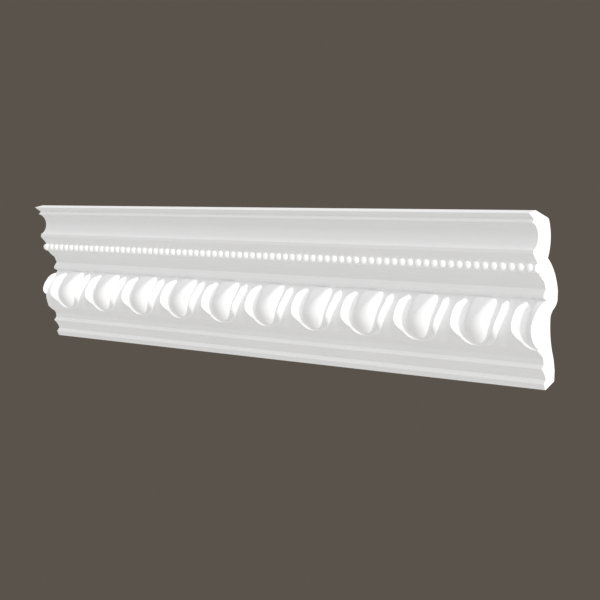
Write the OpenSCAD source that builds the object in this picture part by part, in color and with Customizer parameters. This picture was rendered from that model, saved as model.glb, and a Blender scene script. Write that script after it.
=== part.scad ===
// Cornice moulding with a bead row and an egg-and-dart band, one cast piece.
// X runs along the moulding, Y points into the wall (the wall plane is y = 0) and Z is up.
// The origin is on the wall, in the middle of the flat land behind the foot.
// Sizes are in millimetres. "Out" is the distance out from the wall, "drop" is a height going down.

/* [Run] */
// Length of the piece, cut square at both ends
length = 552; // [200:1:1000]
// Centre of the first egg, from the left cut
first_egg = 32.3; // [0:0.1:50]
// Centre of the first bead, from the left cut
first_bead = 1.6; // [0:0.1:7]
// Distance between bead centres
bead_pitch = 7.45; // [6.5:0.05:9]
// Beads to each egg
beads_per_egg = 7; // [6:1:9]

/* [Crown] */
// Top ridge, the line that meets the ceiling, out from the wall
ridge_out = 37; // [32:0.5:44]
// Drop of the bevel in front of the ridge
bevel_drop = 2.4; // [1:0.1:4]
// Front edge of the crown, out from the wall
crown_out = 46.5; // [42:0.5:56]
// Drop of the fascia, which slopes back under the crown
fascia_drop = 3.8; // [2:0.1:6]
// Foot of the fascia, out from the wall
fascia_out = 39; // [36:0.5:44]
// Drop of the small arris over the cove
arris_drop = 2.8; // [1:0.1:5]
// Edge of the arris, out from the wall
arris_out = 41.3; // [38:0.1:48]

/* [Cove] */
// Drop of the cove
cove_drop = 19.4; // [14:0.1:25]
// Depth of the cove behind its two edges
cove_depth = 7.6; // [4:0.1:9]
// Nose under the cove, out from the wall
nose_out = 38; // [34:0.5:44]
// Drop of the nose
nose_drop = 2.8; // [1:0.1:5]
// Drop of the slope under the nose
under_drop = 6; // [3:0.1:9]

/* [Bead row] */
// Seat of the beads, out from the wall
seat_out = 31.4; // [28:0.1:35]
// Drop of the seat
seat_drop = 7.4; // [6:0.1:10]
// Diameter of a bead
bead_d = 6.2; // [4:0.1:6.5]
// Bead centres in front of the seat
bead_rise = 0.6; // [0:0.1:1.5]

/* [Neck] */
// Lip under the beads, out from the wall
lip_out = 29; // [24:0.1:31]
// Drop of the ovolo under the lip
ovolo_drop = 6; // [3:0.1:9]
// Foot of the ovolo, out from the wall
ovolo_out = 20.8; // [18:0.1:24]
// Drop of the neck
neck_drop = 5.4; // [3:0.1:8]
// Foot of the neck, out from the wall
neck_out = 17.8; // [15:0.1:20]
// Drop of the sloped weathering over the eggs
weather_drop = 4.4; // [2:0.1:6]
// Fillet over the eggs, out from the wall
fillet_out = 20.8; // [18:0.1:24]
// Drop of that fillet
fillet_drop = 2; // [1:0.1:4]
// Drop of its sloped underside
underside_drop = 1.8; // [1:0.1:3]
// Foot of the underside, where the eggs begin, out from the wall
band_top_out = 16.4; // [15:0.1:18]

/* [Eggs and husks] */
// Drop of the band that holds the eggs
band_drop = 36.6; // [30:0.1:46]
// Swell of the bed behind the eggs
bed_swell = 6.8; // [4:0.1:8]
// How far the fullest part of that swell lies below the middle, from 1 for not at all
bed_sag = 1.25; // [1:0.05:1.4]
// Middle of the eggs under the top of the band
egg_middle = 17; // [14:0.1:20]
// Width of an egg
egg_w = 20.8; // [17:0.1:25]
// Gap between an egg's top and the top of the band
egg_top_gap = 0.6; // [0.4:0.1:2]
// Gap between an egg's foot and the border
egg_foot_gap = 1.8; // [1.2:0.1:4]
// Height of an egg's crown over the bed
egg_rise = 9.6; // [7:0.1:12]
// How much fuller an egg is towards its top
egg_tilt = 0.25; // [0:0.05:0.4]
// Gap between an egg and its husk
husk_gap = 0.6; // [0.4:0.1:1.5]
// Width over an egg's two husks, beside its foot
husk_w = 40.6; // [36:0.1:46]
// Half the groove between the tops of two husks
husk_margin = 3.3; // [2:0.1:4.5]
// Height of a husk's crest over the bed
husk_rise = 7.6; // [5:0.1:10]
// Highest part of a crest, over the middle of the egg
husk_middle = 4; // [2:0.1:6]
// Height of the thin rim under an egg over the floor
rim_rise = 0.5; // [0.4:0.1:1.5]
// Height of the floor between two husks over the bed
floor_rise = 0.9; // [0.6:0.1:3]
// Depth of the crease in that floor
crease_depth = 0.4; // [0.2:0.1:1.5]

/* [Foot] */
// Border under the eggs, out from the wall
border_out = 25.4; // [23:0.1:28]
// Drop of the border, which slopes back
border_drop = 2.2; // [1:0.1:4]
// Foot of the border, out from the wall
border_foot_out = 22.4; // [20:0.1:23]
// Drop of the second slope under the border
second_drop = 3.8; // [2:0.1:6]
// Foot of the second slope, out from the wall
second_out = 17.3; // [15:0.1:19]
// Drop of the flat under the border
flat_drop = 4.2; // [2:0.1:7]
// Foot of the flat, out from the wall
flat_out = 16.5; // [14:0.1:18]
// Drop of the small slope over the hollow
shoulder_drop = 3.2; // [2:0.1:5]
// Edge of that slope, out from the wall
shoulder_out = 19.3; // [17:0.1:22]
// Drop of the shallow hollow
hollow_drop = 8; // [5:0.1:11]
// Foot of the shallow hollow, out from the wall
hollow_out = 12.4; // [10:0.1:15]
// Drop of the slope over the toe
toe_slope_drop = 3.2; // [2:0.1:5]
// Toe, out from the wall
toe_out = 15.3; // [13:0.1:18]
// Drop of the toe
toe_drop = 4.4; // [2:0.1:7]
// Bottom edge, out from the wall
tip_out = 12.6; // [9:0.1:14]

/* [Back] */
// Drop of the back bevel behind the ridge
back_bevel_drop = 4.6; // [2:0.1:8]
// Foot of the back bevel, out from the wall
back_bevel_out = 19.5; // [17:0.1:24]
// Back behind the cove, out from the wall
back_top_out = 16.8; // [14:0.1:20]
// Swell of the back behind the cove
back_swell = 3; // [0:0.1:5]
// Height of the land behind the neck, which lies on the wall
upper_land_h = 6.6; // [4:0.1:12]
// Deepest point of the hollow behind the eggs, out from the wall
back_hollow_out = 9.4; // [5:0.1:11]
// Swell of the two curves from that hollow to the upper land
back_turn = 0.6; // [0.2:0.1:1.2]
// Height of the land behind the foot, which lies on the wall
lower_land_h = 8; // [5:0.1:14]
// Drop of the taper over that land
heel_taper_drop = 9; // [5:0.1:14]
// Top of the taper, out from the wall
heel_taper_out = 2.4; // [1:0.1:4]
// Drop from the lower land to the bottom edge
heel_drop = 5.8; // [3:0.1:8]

/* [Hidden] */
// Segments in each curved member of the section
arc_steps = 10;
// Quarter steps around an egg, along the bottom and up the side of its cell
cell_nx = 8;
cell_nz = 6;
// How far the relief reaches into the body so that the two are one solid
overlap = 1;
// Thickness of the body behind the relief
core = 3;

egg_pitch = beads_per_egg * bead_pitch;

// Levels, as drops from the ridge
d_crown = bevel_drop;
d_fascia = d_crown + fascia_drop;
d_arris = d_fascia + arris_drop;
d_cove = d_arris + cove_drop;
d_nose = d_cove + nose_drop;
d_under = d_nose + under_drop;
d_seat = d_under + seat_drop;
d_ovolo = d_seat + ovolo_drop;
d_neck = d_ovolo + neck_drop;
d_weather = d_neck + weather_drop;
d_fillet = d_weather + fillet_drop;
d_band = d_fillet + underside_drop;
d_border = d_band + band_drop;
d_border_foot = d_border + border_drop;
d_second = d_border_foot + second_drop;
d_flat = d_second + flat_drop;
d_shoulder = d_flat + shoulder_drop;
d_hollow = d_shoulder + hollow_drop;
d_toe_slope = d_hollow + toe_slope_drop;
d_tip = d_toe_slope + toe_drop;
d_land_foot = d_tip - heel_drop;
d_land_top = d_land_foot - lower_land_h;
d_origin = (d_land_foot + d_land_top) / 2;
d_upper_land = d_neck + 2;
upper_land_foot = [0, d_upper_land + upper_land_h];
back_hollow_top = [back_hollow_out, d_band + 12];

// Points along an arc from a to b, without a. The rise is to the left of the way from a to b.
function arc(a, b, rise) =
    let (chord = b - a, len = norm(chord), side = [-chord[1], chord[0]] / len,
         r = (len * len / 4 + rise * rise) / (2 * rise), half = asin(len / (2 * abs(r))),
         mid = (a + b) / 2, centre = mid + side * (rise - r))
    [for (i = [1 : arc_steps])
        let (t = -half + 2 * half * i / arc_steps)
        centre + chord / len * abs(r) * sin(t) + side * r * cos(t)];

// The section as [out, drop] points: down the front, then up the back
function front_points() = concat(
    [[ridge_out, 0], [crown_out, d_crown], [fascia_out, d_fascia], [arris_out, d_arris]],
    arc([arris_out, d_arris], [nose_out, d_cove], cove_depth),
    [[nose_out, d_nose], [seat_out, d_under], [seat_out, d_seat], [lip_out, d_seat]],
    arc([lip_out, d_seat], [ovolo_out, d_ovolo], -0.4),
    [[neck_out, d_neck], [fillet_out, d_weather], [fillet_out, d_fillet], [band_top_out, d_band]],
    [[back_hollow_out + core, d_band], [back_hollow_out + core, d_border], [border_out, d_border]],
    arc([border_out, d_border], [border_foot_out, d_border_foot], 0.2),
    arc([border_foot_out, d_border_foot], [second_out, d_second], 0.5),
    [[flat_out, d_flat], [shoulder_out, d_shoulder]],
    arc([shoulder_out, d_shoulder], [hollow_out, d_hollow], 0.8),
    [[toe_out, d_toe_slope], [tip_out, d_tip]]);

function back_points() = concat(
    [[0, d_land_foot], [0, d_land_top], [heel_taper_out, d_land_top - heel_taper_drop]],
    arc([heel_taper_out, d_land_top - heel_taper_drop], back_hollow_top, 2.2),
    arc(back_hollow_top, (back_hollow_top + upper_land_foot) / 2, back_turn),
    arc((back_hollow_top + upper_land_foot) / 2, upper_land_foot, -back_turn),
    [[0, d_upper_land]],
    arc([0, d_upper_land], [back_top_out, d_nose + 2.5], -3),
    arc([back_top_out, d_nose + 2.5], [back_top_out, back_bevel_drop + 2.5], -back_swell),
    arc([back_top_out, back_bevel_drop + 2.5], [back_bevel_out, back_bevel_drop], -0.5));

// The relief is one cell for each egg, centred on it and half an egg pitch wide to each side.
// A cell is a fan of rays from the egg's centre to the rectangle round the cell.
cell_top = d_band - overlap;
cell_foot = d_border + overlap;
egg_centre = d_band + egg_middle;
egg_half_w = egg_w / 2;
husk_reach_up = egg_middle + 3;
// Height over which the floor between two husks fades into the bed at its top
top_fade = 5;
egg_up = egg_middle - egg_top_gap;
egg_down = band_drop - egg_middle - egg_foot_gap;
relief_back = back_hollow_out + core / 2;
cell_edge = egg_pitch / 2;
cell_up = egg_centre - cell_top;
cell_down = cell_foot - egg_centre;
first_cell = floor((-first_egg - cell_edge) / egg_pitch) + 1;
last_cell = ceil((length - first_egg + cell_edge) / egg_pitch) - 1;
cells = last_cell - first_cell + 1;

// Points round the edge of a cell as [along, up] from its centre, from the lower left corner
cell_edge_points = concat(
    [for (i = [0 : cell_nx - 1]) [mix(-cell_edge, cell_edge, i / cell_nx), -cell_down]],
    [for (i = [0 : cell_nz - 1]) [cell_edge, mix(-cell_down, cell_up, i / cell_nz)]],
    [for (i = [0 : cell_nx - 1]) [mix(cell_edge, -cell_edge, i / cell_nx), cell_up]],
    [for (i = [0 : cell_nz - 1]) [-cell_edge, mix(cell_up, -cell_down, i / cell_nz)]]);
rays = len(cell_edge_points);

function blend(t) = let (k = max(0, min(1, t))) k * k * (3 - 2 * k);
function mix(a, b, t) = a + (b - a) * t;

// How far a rounded box reaches along a ray at angle a from straight down
function box_reach(a, half_w, half_h, power) =
    pow(pow(abs(sin(a)) / half_w, power) + pow(abs(cos(a)) / half_h, power), -1 / power);
// An egg is round at its foot and nearly square at its top
function egg_reach(a) =
    cos(a) > 0 ? box_reach(a, egg_half_w, egg_down, 2.2) : box_reach(a, egg_half_w, egg_up, 7);
// The husks' outline opens from the width beside the foot to nearly the whole cell at the top
function husk_half_w(a) = mix(husk_w / 2, cell_edge - husk_margin, blend((abs(a) - 60) / 70));
function husk_reach(a) =
    max(egg_reach(a) + husk_gap + 0.4,
        cos(a) > 0 ? box_reach(a, husk_half_w(a), egg_down + egg_foot_gap, 2.4)
                   : box_reach(a, husk_half_w(a), egg_up + 0.2, 5));

// Out from the wall at a height over the egg's centre: the bed, the floor between husks and the border
function bed_out(up) =
    let (t = max(0, min(1, (egg_middle - up) / band_drop)))
    mix(band_top_out, border_out, t) + bed_swell * pow(sin(180 * pow(t, bed_sag)), bed_sag);
function border_slope_out(up) =
    border_out + (up + band_drop - egg_middle) * (border_out - border_foot_out) / border_drop;
function floor_out(up, crease) =
    let (rise = (floor_rise + crease) * blend((egg_middle - up) / top_fade))
    min(bed_out(up) + rise, border_slope_out(up));

// An egg's dome, and a husk's crest, which ends in a round lobe at each side of the egg's top
function egg_out(up, share) =
    bed_out(up) + egg_rise * (1 + egg_tilt * up / egg_middle) * sqrt(1 - share * share);
function husk_end(a) = sqrt(max(0, 1 - pow(max(0, a - 118) / 13, 2)));
function crest_out(up, a) =
    let (swell = sqrt(max(0, 1 - pow((up - husk_middle) / husk_reach_up, 2))))
    bed_out(up) + husk_end(a)
        * (rim_rise + max(husk_rise * swell * blend((a - 30) / 45),
                          floor_out(up, crease_depth) - bed_out(up)));

// The edge of a cell, which lies inside the body at the top and bottom and shows at the sides
function edge_out(p) =
    p[1] > cell_up - 0.01 ? band_top_out - 0.5
    : p[1] < 0.01 - cell_down ? border_foot_out
    : floor_out(p[1], 0);

// A ring of the relief as [along, out, up] for the ray at angle a
egg_shares = [0.45, 0.75, 0.93, 1];
// A husk is a low shelf beside the egg, then rises to its crest
husk_shares = [0, 0.45, 0.8];
husk_heights = [0, 0.1, 1];
rings = len(egg_shares) + len(husk_shares) + 1;
function ring_point(ring, a) =
    let (egg = egg_reach(a), inner = egg + husk_gap, outer = husk_reach(a), turn = abs(a),
         on_egg = ring < len(egg_shares), k = ring - len(egg_shares),
         reach = on_egg ? egg * egg_shares[ring]
               : ring < rings - 1 ? mix(inner, outer, husk_shares[k])
               : outer,
         up = -reach * cos(a),
         out = on_egg ? egg_out(up, egg_shares[ring])
             : ring == rings - 1 ? mix(bed_out(up), floor_out(up, crease_depth), husk_end(turn))
             : mix(bed_out(up), crest_out(up, turn), husk_heights[k]))
    [reach * sin(a), out, up];

// Corners of the relief: the lines between cells, then each cell, then its flat back
function cell_x(cell) = -length / 2 + first_egg + (first_cell + cell) * egg_pitch;
function relief_point(x, p) = [x + p[0], -p[1], d_origin - egg_centre + p[2]];
function side_points(line) =
    [for (i = [0 : cell_nz])
        let (up = mix(-cell_down, cell_up, i / cell_nz))
        relief_point(cell_x(line) - cell_edge, [0, edge_out([cell_edge, up]), up])];
function cell_points(cell) = concat(
    [for (i = [1 : cell_nx - 1]) edge_corner(cell, i)],
    [for (i = [1 : cell_nx - 1]) edge_corner(cell, cell_nx + cell_nz + i)],
    [for (ring = [0 : rings - 1])
        for (p = cell_edge_points)
            relief_point(cell_x(cell), ring_point(ring, atan2(p[0], -p[1])))],
    [relief_point(cell_x(cell), [0, egg_out(0, 0), 0])]);
function edge_corner(cell, k) =
    let (p = cell_edge_points[k])
    relief_point(cell_x(cell), [p[0], edge_out(p), p[1]]);
function back_corners() =
    [for (x = [cell_x(0) - cell_edge, cell_x(cells - 1) + cell_edge])
        for (up = [-cell_down, cell_up])
            relief_point(x, [0, relief_back, up])];

// Numbers of those corners
line_size = cell_nz + 1;
cell_size = 2 * (cell_nx - 1) + rings * rays + 1;
function side_id(line, i) = line * line_size + i;
function cell_id(cell, i) = (cells + 1) * line_size + cell * cell_size + i;
function edge_id(cell, k) =
    k == 0 ? side_id(cell, 0)
    : k < cell_nx ? cell_id(cell, k - 1)
    : k <= cell_nx + cell_nz ? side_id(cell + 1, k - cell_nx)
    : k < 2 * cell_nx + cell_nz ? cell_id(cell, k - cell_nz - 2)
    : side_id(cell, rays - k);
function ring_id(cell, ring, k) =
    let (turn = k % rays)
    ring == rings ? edge_id(cell, turn) : cell_id(cell, 2 * (cell_nx - 1) + ring * rays + turn);
function crown_id(cell) = cell_id(cell, cell_size - 1);
function back_id(i) = cell_id(cells, i);

function cell_faces(cell) = concat(
    [for (k = [0 : rays - 1])
        [crown_id(cell), ring_id(cell, 0, k + 1), ring_id(cell, 0, k)]],
    [for (ring = [0 : rings - 1])
        for (k = [0 : rays - 1])
            each [
                [ring_id(cell, ring, k), ring_id(cell, ring, k + 1), ring_id(cell, ring + 1, k + 1)],
                [ring_id(cell, ring, k), ring_id(cell, ring + 1, k + 1), ring_id(cell, ring + 1, k)]]]);
function block_faces() = [
    concat([back_id(1), back_id(3)],
        [for (cell = [cells - 1 : -1 : 0])
            for (k = [cell_nx + cell_nz : 2 * cell_nx + cell_nz - 1]) edge_id(cell, k)],
        [side_id(0, cell_nz)]),
    concat([back_id(2), back_id(0)],
        [for (cell = [0 : cells - 1]) for (k = [0 : cell_nx - 1]) edge_id(cell, k)],
        [side_id(cells, 0)]),
    concat([back_id(0), back_id(1)], [for (i = [cell_nz : -1 : 0]) side_id(0, i)]),
    concat([back_id(3), back_id(2)], [for (i = [0 : cell_nz]) side_id(cells, i)]),
    [back_id(3), back_id(1), back_id(0), back_id(2)]];

module body() {
    translate([-length / 2 - overlap, 0, d_origin])
        rotate([90, 0, 90])
            linear_extrude(length + 2 * overlap)
                polygon([for (p = concat(front_points(), back_points())) [-p[0], -p[1]]]);
}

module eggs_and_husks() {
    polyhedron(
        concat(
            [for (line = [0 : cells]) each side_points(line)],
            [for (cell = [0 : cells - 1]) each cell_points(cell)],
            back_corners()),
        concat([for (cell = [0 : cells - 1]) each cell_faces(cell)], block_faces()));
}

module beads() {
    from = ceil((bead_d / 2 - first_bead) / bead_pitch);
    to = floor((length - bead_d / 2 - first_bead) / bead_pitch);
    for (bead = [from : to])
        translate([-length / 2 + first_bead + bead * bead_pitch, -seat_out - bead_rise,
                   d_origin - d_seat + seat_drop / 2])
            sphere(d = bead_d, $fn = 32);
}

module cornice() {
    color("white")
        intersection() {
            union() {
                body();
                eggs_and_husks();
                beads();
            }
            translate([-length / 2, -2 * crown_out, d_origin - 2 * d_tip])
                cube([length, 3 * crown_out, 3 * d_tip]);
        }
}

cornice();
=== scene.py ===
"""A length of white cornice moulding with a bead row and a band of eggs in their husks.

One visual piece, "moulding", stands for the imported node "cornice". Its mesh follows the same
sizes as the solid, with softened edges, whole curves and finer carving. Sizes are in
millimetres until a point is made. "Out" is the distance out from the wall plane, "drop" is a
height going down from the ridge and "up" is a height over the middle of an egg.
"""
import math

import bmesh
import bpy
from mathutils import Matrix, Vector


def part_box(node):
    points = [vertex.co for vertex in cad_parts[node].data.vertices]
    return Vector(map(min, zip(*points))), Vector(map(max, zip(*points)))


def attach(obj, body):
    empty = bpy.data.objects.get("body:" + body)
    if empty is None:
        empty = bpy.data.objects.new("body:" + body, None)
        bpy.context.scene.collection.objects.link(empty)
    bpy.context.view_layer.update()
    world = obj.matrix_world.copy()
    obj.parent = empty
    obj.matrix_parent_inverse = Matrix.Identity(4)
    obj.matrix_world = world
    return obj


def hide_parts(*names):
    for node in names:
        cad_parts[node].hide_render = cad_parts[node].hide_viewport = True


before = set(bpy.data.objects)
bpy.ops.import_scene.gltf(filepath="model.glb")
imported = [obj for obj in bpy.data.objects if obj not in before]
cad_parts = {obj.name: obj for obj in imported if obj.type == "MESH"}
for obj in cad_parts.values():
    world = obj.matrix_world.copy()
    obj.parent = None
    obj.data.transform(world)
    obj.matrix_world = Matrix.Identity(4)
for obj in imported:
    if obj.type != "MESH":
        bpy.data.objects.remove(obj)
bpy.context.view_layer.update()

MM = 0.001
LOW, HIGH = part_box("cornice")
HALF_LENGTH = HIGH[0] / MM
RIDGE_HEIGHT = HIGH[2] / MM

# Run of the ornament, from the left cut
FIRST_EGG = 32.3
FIRST_BEAD = 1.6
BEAD_PITCH = 7.45
EGG_PITCH = 7 * BEAD_PITCH

# Members of the section as (out, drop of the member, rise of its arc into the body)
CROWN = [(46.5, 2.4, 0), (39, 3.8, 0), (41.3, 2.8, 0), (38, 19.4, 7.6), (38, 2.8, 0)]
RIDGE_OUT = 37
SEAT_OUT, UNDER_DROP, SEAT_DROP = 31.4, 6, 7.4
NECK = [(29, 0, 0), (20.8, 6, -0.4), (17.8, 5.4, 0), (20.8, 4.4, 0), (20.8, 2, 0), (16.4, 1.8, 0)]
BAND_TOP_OUT, BAND_DROP, BAND_FOOT_OUT = 16.4, 36.6, 25.4
BORDER_DROP, BORDER_FOOT_OUT = 2.2, 22.4
FOOT = [(17.3, 3.8, 0.5), (16.5, 4.2, 0), (19.3, 3.2, 0), (12.4, 8, 0.8), (15.3, 3.2, 0),
        (12.6, 4.4, 0)]

# Back, from the heel up
HEEL_DROP, LOWER_LAND, HEEL_TAPER_DROP, HEEL_TAPER_OUT = 5.8, 8, 9, 2.4
BACK_HOLLOW_OUT, BACK_HOLLOW_BELOW_BAND, BACK_HOLLOW_RISE = 9.4, 12, 2.2
BACK_TURN, UPPER_LAND, UPPER_LAND_BELOW_NECK = 0.6, 6.6, 2
BACK_TOP_OUT, NAPE_RISE, BACK_SWELL, SWELL_GAP = 16.8, -3, 3, 2.5
BACK_BEVEL_DROP, BACK_BEVEL_OUT, BACK_BEVEL_RISE = 4.6, 19.5, -0.5

# Softened arrises: radius, support beyond it, and the most of a side that a curve may take
EDGE_RADIUS = 0.5
EDGE_SUPPORT = 0.25
EDGE_SHARE = 0.4
EDGE_STEPS = 4

# Beads
BEAD_RADIUS = 3.1
BEAD_RISE = 0.6
BEAD_FILLET = 0.15

# Eggs and husks. AT and OVER are angles round an egg, in degrees from straight down.
BED_SWELL = 6.8
BED_SAG = 1.25
EGG_MIDDLE = 17
EGG_HALF_W = 10.4
EGG_TOP_GAP = 0.6
EGG_UP = EGG_MIDDLE - EGG_TOP_GAP
EGG_FOOT_GAP = 1.8
EGG_DOWN = BAND_DROP - EGG_MIDDLE - EGG_FOOT_GAP
EGG_RISE = 9.6
EGG_TILT = 0.25
EGG_FOOT_POWER, EGG_TOP_POWER = 2.2, 7
HUSK_GAP = 0.6
HUSK_LEAST_W = 0.4
HUSK_HALF_W = 20.3
HUSK_MARGIN = 3.3
HUSK_WIDENS_AT, HUSK_WIDENS_OVER = 60, 70
HUSK_OVER_EGG = 0.2
HUSK_FOOT_POWER, HUSK_TOP_POWER = 2.4, 5
HUSK_RISE = 7.6
HUSK_MIDDLE = 4
HUSK_REACH_UP = 20
HUSK_SWELLS_AT, HUSK_SWELLS_OVER = 30, 45
HUSK_ENDS_AT, HUSK_ENDS_OVER = 118, 13
RIM_RISE = 0.5
CREST_SHARE = 0.8
HUSK_SHELF = 0.66
HUSK_SHELF_SHARE = 0.93
HUSK_BACK_ROUND = 0.65
FLOOR_RISE = 0.9
CREASE_DEPTH = 0.4
CREASE_REACH = 7
TOP_FADE = 5
CELL_EDGE = EGG_PITCH / 2


def mix(a, b, t):
    return a + (b - a) * t


def blend(t):
    k = max(0.0, min(1.0, t))
    return k * k * (3 - 2 * k)


def place(x, out, drop):
    """A point in metres from its place along the run, its distance out and its drop."""
    return (x * MM, -out * MM, (RIDGE_HEIGHT - drop) * MM)


# ---------------------------------------------------------------- the section

def arc(a, b, rise, steps):
    """Points from a to b, without a, on an arc that rises to the left of the way."""
    chord = Vector(b) - Vector(a)
    side = Vector((-chord[1], chord[0])).normalized()
    radius = (chord.length_squared / 4 + rise * rise) / (2 * rise)
    half = math.asin(chord.length / (2 * abs(radius)))
    centre = (Vector(a) + Vector(b)) / 2 + side * (rise - radius)
    along = chord.normalized() * abs(radius)
    turns = [mix(-half, half, i / steps) for i in range(1, steps + 1)]
    return [tuple(centre + along * math.sin(t) + side * radius * math.cos(t)) for t in turns]


def run_of(start, members, steps=20):
    """Follows members down from a start and returns its points, with True at each corner."""
    points = [(start, True)]
    for out, drop, rise in members:
        here = points[-1][0]
        end = (out, here[1] + drop)
        inner = arc(here, end, rise, steps)[:-1] if rise else []
        points += [(p, False) for p in inner] + [(end, True)]
    return points


def soften(points):
    """Rounds each corner of a run with a small curve, between two support points."""
    soft = [points[0][0]]
    for before, (here, corner), after in zip(points, points[1:], points[2:]):
        if not corner:
            soft.append(here)
            continue
        here = Vector(here)
        back, on = Vector(before[0]) - here, Vector(after[0]) - here
        bend = math.pi - back.angle(on)
        room = EDGE_SHARE * min(back.length, on.length)
        cut = min(EDGE_RADIUS * math.tan(bend / 2), room)
        a, b = here + back.normalized() * cut, here + on.normalized() * cut
        support = min(EDGE_SUPPORT, room / 4)
        soft.append(tuple(a + back.normalized() * support))
        for i in range(EDGE_STEPS + 1):
            t = i / EDGE_STEPS
            soft.append(tuple(a.lerp(here, t).lerp(here.lerp(b, t), t)))
        soft.append(tuple(b + on.normalized() * support))
    return soft + [points[-1][0]]


crown = run_of((RIDGE_OUT, 0), CROWN)
SEAT_TOP = crown[-1][0][1] + UNDER_DROP
SEAT_FOOT = SEAT_TOP + SEAT_DROP
neck = run_of((SEAT_OUT, SEAT_FOOT), NECK)
NECK_FOOT = neck[-4][0][1]
BAND_TOP = neck[-1][0][1]
BAND_FOOT = BAND_TOP + BAND_DROP
foot = run_of((BORDER_FOOT_OUT, BAND_FOOT + BORDER_DROP), FOOT)
TIP = foot[-1][0]
EGG_CENTRE = BAND_TOP + EGG_MIDDLE


def back_run():
    """The plain back: heel, lower land, long hollow, upper land, nape, swell and bevel."""
    land_foot = TIP[1] - HEEL_DROP
    land_top = land_foot - LOWER_LAND
    taper = (HEEL_TAPER_OUT, land_top - HEEL_TAPER_DROP)
    hollow_top = (BACK_HOLLOW_OUT, BAND_TOP + BACK_HOLLOW_BELOW_BAND)
    upper_top = NECK_FOOT + UPPER_LAND_BELOW_NECK
    upper_foot = upper_top + UPPER_LAND
    turn = (BACK_HOLLOW_OUT / 2, (hollow_top[1] + upper_foot) / 2)
    swell_foot = (BACK_TOP_OUT, crown[-1][0][1] + SWELL_GAP)
    swell_top = (BACK_TOP_OUT, BACK_BEVEL_DROP + SWELL_GAP)
    bevel = (BACK_BEVEL_OUT, BACK_BEVEL_DROP)

    run = [((0, land_foot), True), ((0, land_top), True), (taper, False)]
    run += [(p, False) for p in arc(taper, hollow_top, BACK_HOLLOW_RISE, 20)]
    run += [(p, False) for p in arc(hollow_top, turn, BACK_TURN, 6)]
    run += [(p, False) for p in arc(turn, (0, upper_foot), -BACK_TURN, 6)[:-1]]
    run += [((0, upper_foot), True), ((0, upper_top), True)]
    run += [(p, False) for p in arc((0, upper_top), swell_foot, NAPE_RISE, 16)[:-1]]
    run += [(swell_foot, True)]
    run += [(p, False) for p in arc(swell_foot, swell_top, -BACK_SWELL, 16)]
    run += [(p, False) for p in arc(swell_top, bevel, BACK_BEVEL_RISE, 4)]
    return run


# ---------------------------------------------------------------- the mesh

class Shell:
    """Collects the points and faces of the moulding. Patches meet at equal border points."""

    def __init__(self):
        self.points = []
        self.faces = []

    def add(self, points):
        first = len(self.points)
        self.points += points
        return list(range(first, len(self.points)))

    def grid(self, rows, closed=False):
        """Quads between rows of points; a closed row goes all the way round."""
        rows = [self.add(row) for row in rows]
        for a, b in zip(rows, rows[1:]):
            if closed:
                a, b = a + a[:1], b + b[:1]
            self.faces += [quad for quad in zip(a, a[1:], b[1:], b)]

    def fan(self, centre, ring):
        middle, = self.add([centre])
        ring = self.add(ring)
        self.faces += [(middle, a, b) for a, b in zip(ring, ring[1:] + ring[:1])]

    def zipper(self, a, b):
        """Triangles between two rows whose points lie at different places along the run."""
        a_ids, b_ids = self.add(a), self.add(b)
        i = j = 0
        while i < len(a) - 1 or j < len(b) - 1:
            if j == len(b) - 1 or (i < len(a) - 1 and a[i + 1][0] <= b[j + 1][0]):
                self.faces.append((a_ids[i], a_ids[i + 1], b_ids[j]))
                i += 1
            else:
                self.faces.append((a_ids[i], b_ids[j + 1], b_ids[j]))
                j += 1


def centres(first, pitch):
    """Places of a repeated ornament, from before the left cut to past the right one."""
    start = -HALF_LENGTH + first - pitch * math.ceil((first + pitch / 2) / pitch)
    count = math.ceil((HALF_LENGTH - start) / pitch + 0.5) + 1
    return [start + i * pitch for i in range(count)]


EGGS = centres(FIRST_EGG, EGG_PITCH)
BEADS = centres(FIRST_BEAD, BEAD_PITCH)
COLUMNS = [EGGS[0] - CELL_EDGE] + [x + CELL_EDGE for x in EGGS]


def level(out, drop, columns):
    return [place(x, out, drop) for x in columns]


def edge_points(half_w, low, high, nx, nz):
    """Points round a rectangle as (along, up), from its lower left corner."""
    foot = [(mix(-half_w, half_w, i / nx), low) for i in range(nx)]
    right = [(half_w, mix(low, high, i / nz)) for i in range(nz)]
    top = [(mix(half_w, -half_w, i / nx), high) for i in range(nx)]
    left = [(-half_w, mix(high, low, i / nz)) for i in range(nz)]
    return foot + right + top + left


def edge_columns(places, half_w, nx):
    """Places along the run of the corners and edge points of a row of cells."""
    columns = [x + mix(-half_w, half_w, i / nx) for x in places for i in range(nx)]
    return columns + [places[-1] + half_w]


# Eggs: points on each side of a cell, and rings on each part of a ray from an egg's crown
EGG_NX, EGG_NZ = 32, 24
EGG_RINGS, HUSK_RINGS, BACK_RINGS, FLOOR_RINGS = 14, 10, 7, 7


def turn_share(a, start, span):
    """Goes from 0 to 1 while the angle from straight down goes from start to start + span."""
    return blend((math.degrees(abs(a)) - start) / span)


def box_reach(a, half_w, half_h, power):
    """Reach of a rounded box along a ray at angle a from straight down."""
    x, z = abs(math.sin(a)) / half_w, abs(math.cos(a)) / half_h
    return (x ** power + z ** power) ** (-1 / power)


def egg_reach(a):
    if math.cos(a) > 0:
        return box_reach(a, EGG_HALF_W, EGG_DOWN, EGG_FOOT_POWER)
    return box_reach(a, EGG_HALF_W, EGG_UP, EGG_TOP_POWER)


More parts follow.
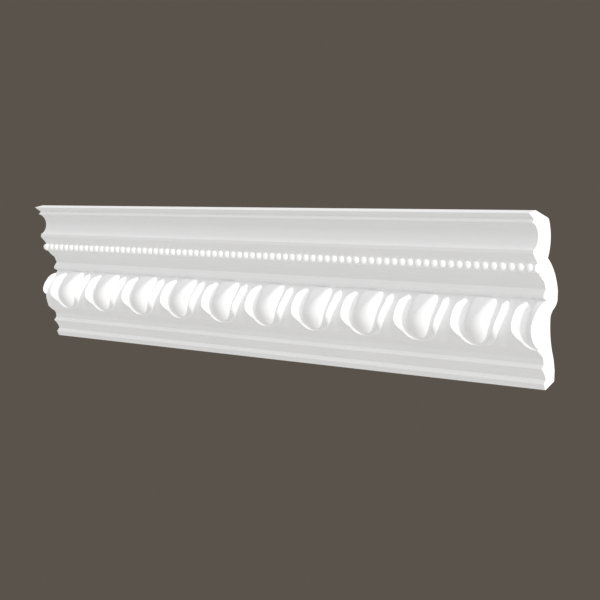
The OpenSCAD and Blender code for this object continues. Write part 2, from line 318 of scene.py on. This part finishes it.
def husk_reach(a):
    half_w = mix(HUSK_HALF_W, CELL_EDGE - HUSK_MARGIN,
                 turn_share(a, HUSK_WIDENS_AT, HUSK_WIDENS_OVER))
    if math.cos(a) > 0:
        reach = box_reach(a, half_w, EGG_DOWN + EGG_FOOT_GAP, HUSK_FOOT_POWER)
    else:
        reach = box_reach(a, half_w, EGG_UP + HUSK_OVER_EGG, HUSK_TOP_POWER)
    return max(reach, egg_reach(a) + HUSK_GAP + HUSK_LEAST_W)


def bed_out(up):
    """The swelling face that eggs, husks and floor stand on."""
    t = max(0, min(1, (EGG_MIDDLE - up) / BAND_DROP))
    swell = math.sin(math.pi * t ** BED_SAG) ** BED_SAG
    return mix(BAND_TOP_OUT, BAND_FOOT_OUT, t) + BED_SWELL * swell


def floor_out(x, up):
    """The floor between husks, with its crease halfway, cut by the slope of the border."""
    rise = FLOOR_RISE + CREASE_DEPTH * blend((CELL_EDGE - abs(x)) / CREASE_REACH)
    rise *= blend((EGG_MIDDLE - up) / TOP_FADE)
    slope = (BAND_FOOT_OUT - BORDER_FOOT_OUT) / BORDER_DROP
    return min(bed_out(up) + rise, BAND_FOOT_OUT + (up + BAND_DROP - EGG_MIDDLE) * slope)


def husk_end(a):
    """Share of a husk's height: 1 along it, and down to 0 over its end beside the egg's top."""
    past = max(0, math.degrees(abs(a)) - HUSK_ENDS_AT) / HUSK_ENDS_OVER
    return math.sqrt(max(0, 1 - past * past))


def crest_rise(x, up, a):
    """Height of a crest over the bed; under the egg it is a thin rim just over the floor."""
    swell = math.sqrt(max(0, 1 - ((up - HUSK_MIDDLE) / HUSK_REACH_UP) ** 2))
    full = HUSK_RISE * swell * turn_share(a, HUSK_SWELLS_AT, HUSK_SWELLS_OVER)
    return (RIM_RISE + max(full, floor_out(x, up) - bed_out(up))) * husk_end(a)


def husk_foot_out(x, up, a):
    """Where a husk's outer side ends: on the floor along the husk, on the bed past its end."""
    return mix(bed_out(up), floor_out(x, up), husk_end(a))


def egg_rings(a, r):
    """Points (along, out, up) from the crown of an egg to the edge of its cell, on one ray."""
    egg, outer = egg_reach(a), husk_reach(a)
    inner = egg + HUSK_GAP
    line = []

    def step(reach, out_at):
        x, up = reach * math.sin(a), -reach * math.cos(a)
        line.append((x, out_at(x, up), up))

    for i in range(1, EGG_RINGS + 1):
        turn = math.radians(90 * i / EGG_RINGS)
        rise = EGG_RISE * math.cos(turn)
        step(egg * math.sin(turn),
             lambda x, up: bed_out(up) + rise * (1 + EGG_TILT * up / EGG_MIDDLE))
    step(mix(egg, inner, 0.5), lambda x, up: bed_out(up))
    for i in range(HUSK_RINGS + 1):
        t = i / HUSK_RINGS
        shape = mix(t, blend((t - HUSK_SHELF) / (1 - HUSK_SHELF)), HUSK_SHELF_SHARE)
        step(mix(inner, outer, CREST_SHARE * t),
             lambda x, up: bed_out(up) + crest_rise(x, up, a) * shape)
    for i in range(1, BACK_RINGS + 1):
        t = 1 - i / BACK_RINGS
        shape = mix(t, math.sqrt(1 - (1 - t) ** 2), HUSK_BACK_ROUND)
        step(mix(outer, inner + (outer - inner) * CREST_SHARE, t),
             lambda x, up: mix(husk_foot_out(x, up, a), bed_out(up) + crest_rise(x, up, a), shape))
    for i in range(1, FLOOR_RINGS + 1):
        t = i / FLOOR_RINGS
        step(mix(outer, r, t),
             lambda x, up: mix(husk_foot_out(x, up, a), floor_out(x, up), t))
    return line


def egg_cell():
    """The rings of one cell as (along, out, up), its outer ring on the edge of the cell."""
    low, high = EGG_MIDDLE - BAND_DROP, EGG_MIDDLE
    straight_edges = {low: BAND_FOOT_OUT, high: BAND_TOP_OUT}
    rays = []
    for x, up in edge_points(CELL_EDGE, low, high, EGG_NX, EGG_NZ):
        line = egg_rings(math.atan2(x, -up), math.hypot(x, up))
        edge = straight_edges[up] if up in straight_edges else floor_out(x, up)
        rays.append(line[:-1] + [(x, edge, up)])
    return list(zip(*rays))


def add_eggs(shell):
    rings = egg_cell()
    crown_point = (0, bed_out(0) + EGG_RISE, 0)
    for egg in EGGS:
        def spot(p):
            return place(egg + p[0], p[1], EGG_CENTRE - p[2])
        shell.grid([[spot(p) for p in ring] for ring in rings], closed=True)
        shell.fan(spot(crown_point), [spot(p) for p in rings[0]])


# Beads: points on each side of a bead's patch of seat, and rings on a bead
BEAD_NX, BEAD_NZ = 7, 6
BEAD_RINGS = 8


def add_beads(shell):
    half_w, half_h = BEAD_PITCH / 2, SEAT_DROP / 2
    middle = (SEAT_TOP + SEAT_FOOT) / 2
    edge = edge_points(half_w, -half_h, half_h, BEAD_NX, BEAD_NZ)
    base_turn = -math.asin(BEAD_RISE / BEAD_RADIUS)
    turns = [mix(base_turn, math.radians(90), i / BEAD_RINGS) for i in range(BEAD_RINGS)]
    sphere = [(BEAD_RADIUS * math.cos(t), BEAD_RISE + BEAD_RADIUS * math.sin(t)) for t in turns]
    profile = [(sphere[0][0] + BEAD_FILLET, 0)] + sphere
    for bead in BEADS:
        rows = [[place(bead + x, SEAT_OUT, middle - up) for x, up in edge]]
        for reach, rise in profile:
            rows.append([place(bead + reach * x / math.hypot(x, up), SEAT_OUT + rise,
                               middle - reach * up / math.hypot(x, up)) for x, up in edge])
        shell.grid(rows, closed=True)
        shell.fan(place(bead, SEAT_OUT + BEAD_RISE + BEAD_RADIUS, middle), rows[-1])


def add_plain(shell):
    """The members above the beads, between beads and eggs, below the eggs, and the back."""
    egg_columns = edge_columns(EGGS, CELL_EDGE, EGG_NX)
    bead_columns = edge_columns(BEADS, BEAD_PITCH / 2, BEAD_NX)
    seat_top, seat_foot = (SEAT_OUT, SEAT_TOP), (SEAT_OUT, SEAT_FOOT)
    band_top, band_foot = (BAND_TOP_OUT, BAND_TOP), (BAND_FOOT_OUT, BAND_FOOT)

    between = soften(neck)[1:-1]
    shell.zipper(level(*seat_foot, bead_columns), level(*between[0], COLUMNS))
    shell.grid([level(*p, COLUMNS) for p in between])
    shell.zipper(level(*between[-1], COLUMNS), level(*band_top, egg_columns))

    around = [(band_foot, True)] + foot + back_run() + crown + [(seat_top, True)]
    around = soften(around)[1:-1]
    shell.zipper(level(*band_foot, egg_columns), level(*around[0], COLUMNS))
    shell.grid([level(*p, COLUMNS) for p in around])
    shell.zipper(level(*around[-1], COLUMNS), level(*seat_top, bead_columns))


WELD_REACH, CUT_REACH = 0.002 * MM, 0.001 * MM
SHARP_TURN = 42


def cut_square(mesh):
    """Welds the patches, cuts both ends square and closes each with a flat face."""
    bm = bmesh.new()
    bm.from_mesh(mesh)
    bmesh.ops.remove_doubles(bm, verts=bm.verts, dist=WELD_REACH)
    for side in (-1, 1):
        geometry = bm.verts[:] + bm.edges[:] + bm.faces[:]
        end = (side * HALF_LENGTH * MM, 0, 0)
        cut = bmesh.ops.bisect_plane(bm, geom=geometry, dist=CUT_REACH, plane_co=end,
                                     plane_no=(side, 0, 0), clear_outer=True)
        rim = [e for e in cut["geom_cut"] if isinstance(e, bmesh.types.BMEdge)]
        bmesh.ops.contextual_create(bm, geom=rim)
    bmesh.ops.triangulate(bm, faces=[f for f in bm.faces if len(f.verts) > 4])
    bmesh.ops.recalc_face_normals(bm, faces=bm.faces)
    bm.to_mesh(mesh)
    bm.free()


def moulding_piece():
    shell = Shell()
    add_plain(shell)
    add_beads(shell)
    add_eggs(shell)
    mesh = bpy.data.meshes.new("moulding")
    mesh.from_pydata(shell.points, [], shell.faces)
    cut_square(mesh)
    mesh.polygons.foreach_set("use_smooth", [True] * len(mesh.polygons))
    mesh.set_sharp_from_angle(angle=math.radians(SHARP_TURN))
    piece = bpy.data.objects.new("moulding", mesh)
    bpy.context.scene.collection.objects.link(piece)
    return piece


# ---------------------------------------------------------------- material, light and camera

def primed_foam():
    """Matt white primer on moulded foam: a fine skin, soft unevenness and faint tone changes."""
    material = bpy.data.materials.new("primed_foam")
    material.use_nodes = True
    nodes, links = material.node_tree.nodes, material.node_tree.links
    shader = nodes["Principled BSDF"]
    shader.inputs["Roughness"].default_value = 0.55
    shader.inputs["Specular IOR Level"].default_value = 0.3
    coordinates = nodes.new("ShaderNodeTexCoord")

    def noise(scale, detail, roughness):
        node = nodes.new("ShaderNodeTexNoise")
        node.inputs["Scale"].default_value = scale
        node.inputs["Detail"].default_value = detail
        node.inputs["Roughness"].default_value = roughness
        links.new(coordinates.outputs["Object"], node.inputs["Vector"])
        return node

    tone = nodes.new("ShaderNodeMix")
    tone.data_type = "RGBA"
    tone.inputs["A"].default_value = (0.82, 0.82, 0.82, 1)
    tone.inputs["B"].default_value = (0.86, 0.86, 0.86, 1)
    links.new(noise(14, 4, 0.55).outputs["Fac"], tone.inputs["Factor"])
    links.new(tone.outputs["Result"], shader.inputs["Base Color"])

    waves = nodes.new("ShaderNodeBump")
    waves.inputs["Strength"].default_value = 0.12
    waves.inputs["Distance"].default_value = 0.0006
    links.new(noise(90, 3, 0.5).outputs["Fac"], waves.inputs["Height"])
    skin = nodes.new("ShaderNodeBump")
    skin.inputs["Strength"].default_value = 0.12
    skin.inputs["Distance"].default_value = 0.0001
    links.new(noise(1400, 4, 0.6).outputs["Fac"], skin.inputs["Height"])
    links.new(waves.outputs["Normal"], skin.inputs["Normal"])
    links.new(skin.outputs["Normal"], shader.inputs["Normal"])
    return material


def studio_world():
    """A brown-grey backdrop for the camera, and soft white light from every side."""
    world = bpy.data.worlds.new("studio")
    world.use_nodes = True
    bpy.context.scene.world = world
    nodes, links = world.node_tree.nodes, world.node_tree.links
    backdrop = nodes["Background"]
    backdrop.inputs["Color"].default_value = (0.102, 0.0865, 0.0704, 1)
    soft = nodes.new("ShaderNodeBackground")
    soft.inputs["Color"].default_value = (1, 1, 1, 1)
    soft.inputs["Strength"].default_value = 0.76
    path = nodes.new("ShaderNodeLightPath")
    choice = nodes.new("ShaderNodeMixShader")
    links.new(path.outputs["Is Camera Ray"], choice.inputs["Fac"])
    links.new(soft.outputs["Background"], choice.inputs[1])
    links.new(backdrop.outputs["Background"], choice.inputs[2])
    links.new(choice.outputs["Shader"], nodes["World Output"].inputs["Surface"])


def lamp(name, energy, angle, towards_light):
    """A wide distant lamp that throws no shadow, in place of a large white panel."""
    light = bpy.data.lights.new(name, "SUN")
    light.energy = energy
    light.angle = math.radians(angle)
    light.use_shadow = False
    holder = bpy.data.objects.new(name, light)
    holder.rotation_euler = Vector(towards_light).to_track_quat("Z", "Y").to_euler()
    bpy.context.scene.collection.objects.link(holder)


def studio_lights():
    """The key from the right, and two weaker lamps from above: one in front, one behind."""
    lamp("key", 1.45, 12, (1, 0, 0))
    lamp("high", 0.5, 12, (0.6, -0.3, 0.75))
    lamp("back_top", 0.65, 12, (0.5, 0.45, 0.75))


# The stage floor's radius and its place below the toe, in metres
FLOOR_RADIUS, FLOOR_BELOW = 2.2, 1.2


def pale_floor():
    """A plain pale floor well below the moulding, which hangs on a wall."""
    bpy.ops.mesh.primitive_circle_add(vertices=96, radius=FLOOR_RADIUS, fill_type="NGON",
                                      location=(0, 0, LOW[2] - FLOOR_BELOW))
    disc = bpy.context.object
    disc.name = "floor"
    paint = bpy.data.materials.new("pale_floor")
    paint.use_nodes = True
    shader = paint.node_tree.nodes["Principled BSDF"]
    shader.inputs["Base Color"].default_value = (0.7, 0.69, 0.67, 1)
    shader.inputs["Roughness"].default_value = 0.8
    disc.data.materials.append(paint)


# The camera's turn off the run, its dip below level and its lean about the run, in degrees,
# and its place from the ridge's right-hand end, in metres
CAMERA_TURN, CAMERA_DIP, CAMERA_LEAN = 49.83, 4.88, 2.79
EYE_FROM_RIDGE_END = (0.44418, -0.78424, -0.02627)


def camera():
    """Looks at the front from beyond the right cut, at about 50 degrees to the run."""
    turn, dip = math.radians(CAMERA_TURN), math.radians(CAMERA_DIP)
    lean = math.radians(CAMERA_LEAN)
    ridge_end = Vector((HALF_LENGTH, -RIDGE_OUT, RIDGE_HEIGHT)) * MM
    right = Vector((math.sin(turn), math.cos(turn), 0))
    level_ahead = Vector((-math.cos(turn), math.sin(turn), 0))
    upright = Vector((0, 0, 1))
    ahead = level_ahead * math.cos(dip) - upright * math.sin(dip)
    above = upright * math.cos(dip) + level_ahead * math.sin(dip)
    axes = Matrix((right, above, -ahead)).transposed()
    view = (Matrix.Rotation(lean, 3, "X") @ axes).to_4x4()
    view.translation = ridge_end + Vector(EYE_FROM_RIDGE_END)
    data = bpy.data.cameras.new("camera")
    data.lens = 75
    data.sensor_width = 36
    eye = bpy.data.objects.new("camera", data)
    eye.matrix_world = view
    bpy.context.scene.collection.objects.link(eye)
    bpy.context.scene.camera = eye


bpy.context.scene.view_settings.view_transform = "Standard"
camera()
studio_world()
studio_lights()
pale_floor()

moulding = moulding_piece()
moulding.data.materials.append(primed_foam())
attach(moulding, "root")
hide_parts("cornice")
